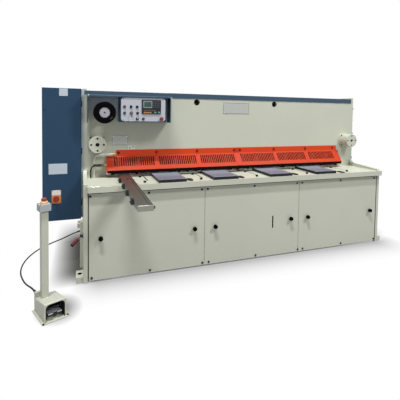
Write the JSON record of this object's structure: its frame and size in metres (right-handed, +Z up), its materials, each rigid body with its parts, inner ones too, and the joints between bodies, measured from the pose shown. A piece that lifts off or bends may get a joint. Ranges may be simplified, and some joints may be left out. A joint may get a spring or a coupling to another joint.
{
  "type": "hydraulic shearing machine",
  "caption": "Floor-standing hydraulic sheet-metal shear with slotted finger guard, work table, squaring arm, control niche, side cabinet and separate foot control on a cable.",
  "frame": {"origin": "on the floor at the centre of the rectangle of four anchor holes", "axes": "+Z up, front faces -Y, +X to the right of someone standing in front"},
  "size_m": [4.3455, 2.82, 1.9],
  "materials": {
    "cream_paint": "semi-gloss machine enamel",
    "blue_paint": "semi-gloss enamel",
    "orange_paint": "glossy safety enamel",
    "panel_grey": "fine-textured powder coat",
    "machined_steel": "ground and oiled",
    "pad_steel": "polished",
    "blade_steel": "ground tool steel",
    "dark_steel": "black-oxide",
    "bright_metal": "satin chrome",
    "alu": "cast and painted",
    "brass": "satin",
    "black_plastic": "matt moulded",
    "red_plastic": "gloss moulded",
    "yellow_plastic": "gloss moulded",
    "rubber": "matt sheath"
  },
  "bodies": {
    "machine": {"side_frames": "cream_paint", "anchor_feet": "cream_paint", "bed_beam": "cream_paint", "work_table": "cream_paint", "table_pads": "pad_steel", "blades": "blade_steel", "blade_beam": "cream_paint", "slide_ways": "dark_steel", "hold_down_rail": "cream_paint", "hold_down_plungers": "bright_metal", "upper_front_plate": "cream_paint", "top_band": "blue_paint", "top_cover": "cream_paint", "rear_plate": "cream_paint", "offcut_slide": "dark_steel", "front_covers": "cream_paint", "rear_covers": "cream_paint", "cover_knobs": "black_plastic", "finger_guard": "orange_paint", "round_flanges": "cream_paint", "control_hood": "blue_paint", "control_box": "blue_paint", "control_panel": "panel_grey", "display_unit": "black_plastic", "push_buttons": "black_plastic", "stop_collar": "black_plastic", "wheel_bearing": "panel_grey", "electrical_cabinet": "blue_paint", "door_hinges": "dark_steel", "side_duct": "cream_paint", "squaring_arm": "machined_steel", "arm_stops": "dark_steel", "guard_brackets": "dark_steel", "oil_pipe": "cream_paint", "guard_hose": "rubber", "pipe_fittings": "brass", "lever_bracket": "dark_steel", "pedestal_base": "cream_paint", "pedal_housing": "cream_paint", "pedestal_column": "cream_paint", "pedestal_head": "panel_grey", "pedestal_stop_collar": "yellow_plastic", "pedal_pin": "bright_metal", "blank_plates": "panel_grey", "cable_glands": "black_plastic", "foot_control_cable": "rubber"},
    "door": {"cabinet_door": "blue_paint", "main_switch_plate": "yellow_plastic"},
    "switch_handle": {"main_switch_handle": "red_plastic"},
    "wheel": {"handwheel": "black_plastic", "wheel_dial_and_knob": "bright_metal"},
    "panel_stop": {"stop_button": "red_plastic"},
    "key": {"key_switch": "bright_metal"},
    "selector": {"selector_knob": "black_plastic"},
    "lever": {"hand_lever": "red_plastic"},
    "pedal": {"foot_pedal": "alu"},
    "pedestal_stop": {"pedestal_stop_button": "red_plastic"}
  },
  "joints": [
    {"name": "cabinet_door_hinge", "type": "hinge", "parent": "machine", "child": "door", "pos_m": [-1.843, -0.487, 1.2], "axis": [0, 0, 1], "range_deg": [0, 75]},
    {"name": "main_switch_turn", "type": "hinge", "parent": "door", "child": "switch_handle", "pos_m": [-2.094, -0.5, 0.74], "axis": [0, 1, 0], "range_deg": [0, 90]},
    {"name": "handwheel_turn", "type": "hinge", "parent": "machine", "child": "wheel", "pos_m": [-1.62, -0.668, 1.648], "axis": [0, 1, 0], "continuous": true},
    {"name": "panel_stop_press", "type": "slide", "parent": "machine", "child": "panel_stop", "axis": [0, 1, 0], "range_m": [0, 0.005]},
    {"name": "key_turn", "type": "hinge", "parent": "machine", "child": "key", "pos_m": [-1.342, -0.642, 1.647], "axis": [0, 1, 0], "range_deg": [0, 90]},
    {"name": "selector_turn", "type": "hinge", "parent": "machine", "child": "selector", "pos_m": [-1.279, -0.642, 1.585], "axis": [0, 1, 0], "range_deg": [-45, 45]},
    {"name": "hand_lever_swing", "type": "hinge", "parent": "machine", "child": "lever", "pos_m": [-1.85, -0.829, 0.436], "axis": [0, 1, 0], "range_deg": [-30, 30]},
    {"name": "foot_pedal_press", "type": "hinge", "parent": "machine", "child": "pedal", "pos_m": [-2.08075, -1.37736, 0.06], "axis": [0.9205, 0.3907, 0], "range_deg": [0, 12], "stiffness_Nm_per_rad": 9, "springref_deg": -8.59},
    {"name": "pedestal_stop_press", "type": "slide", "parent": "machine", "child": "pedestal_stop", "axis": [0, 0, -1], "range_m": [0, 0.005]}
  ]
}
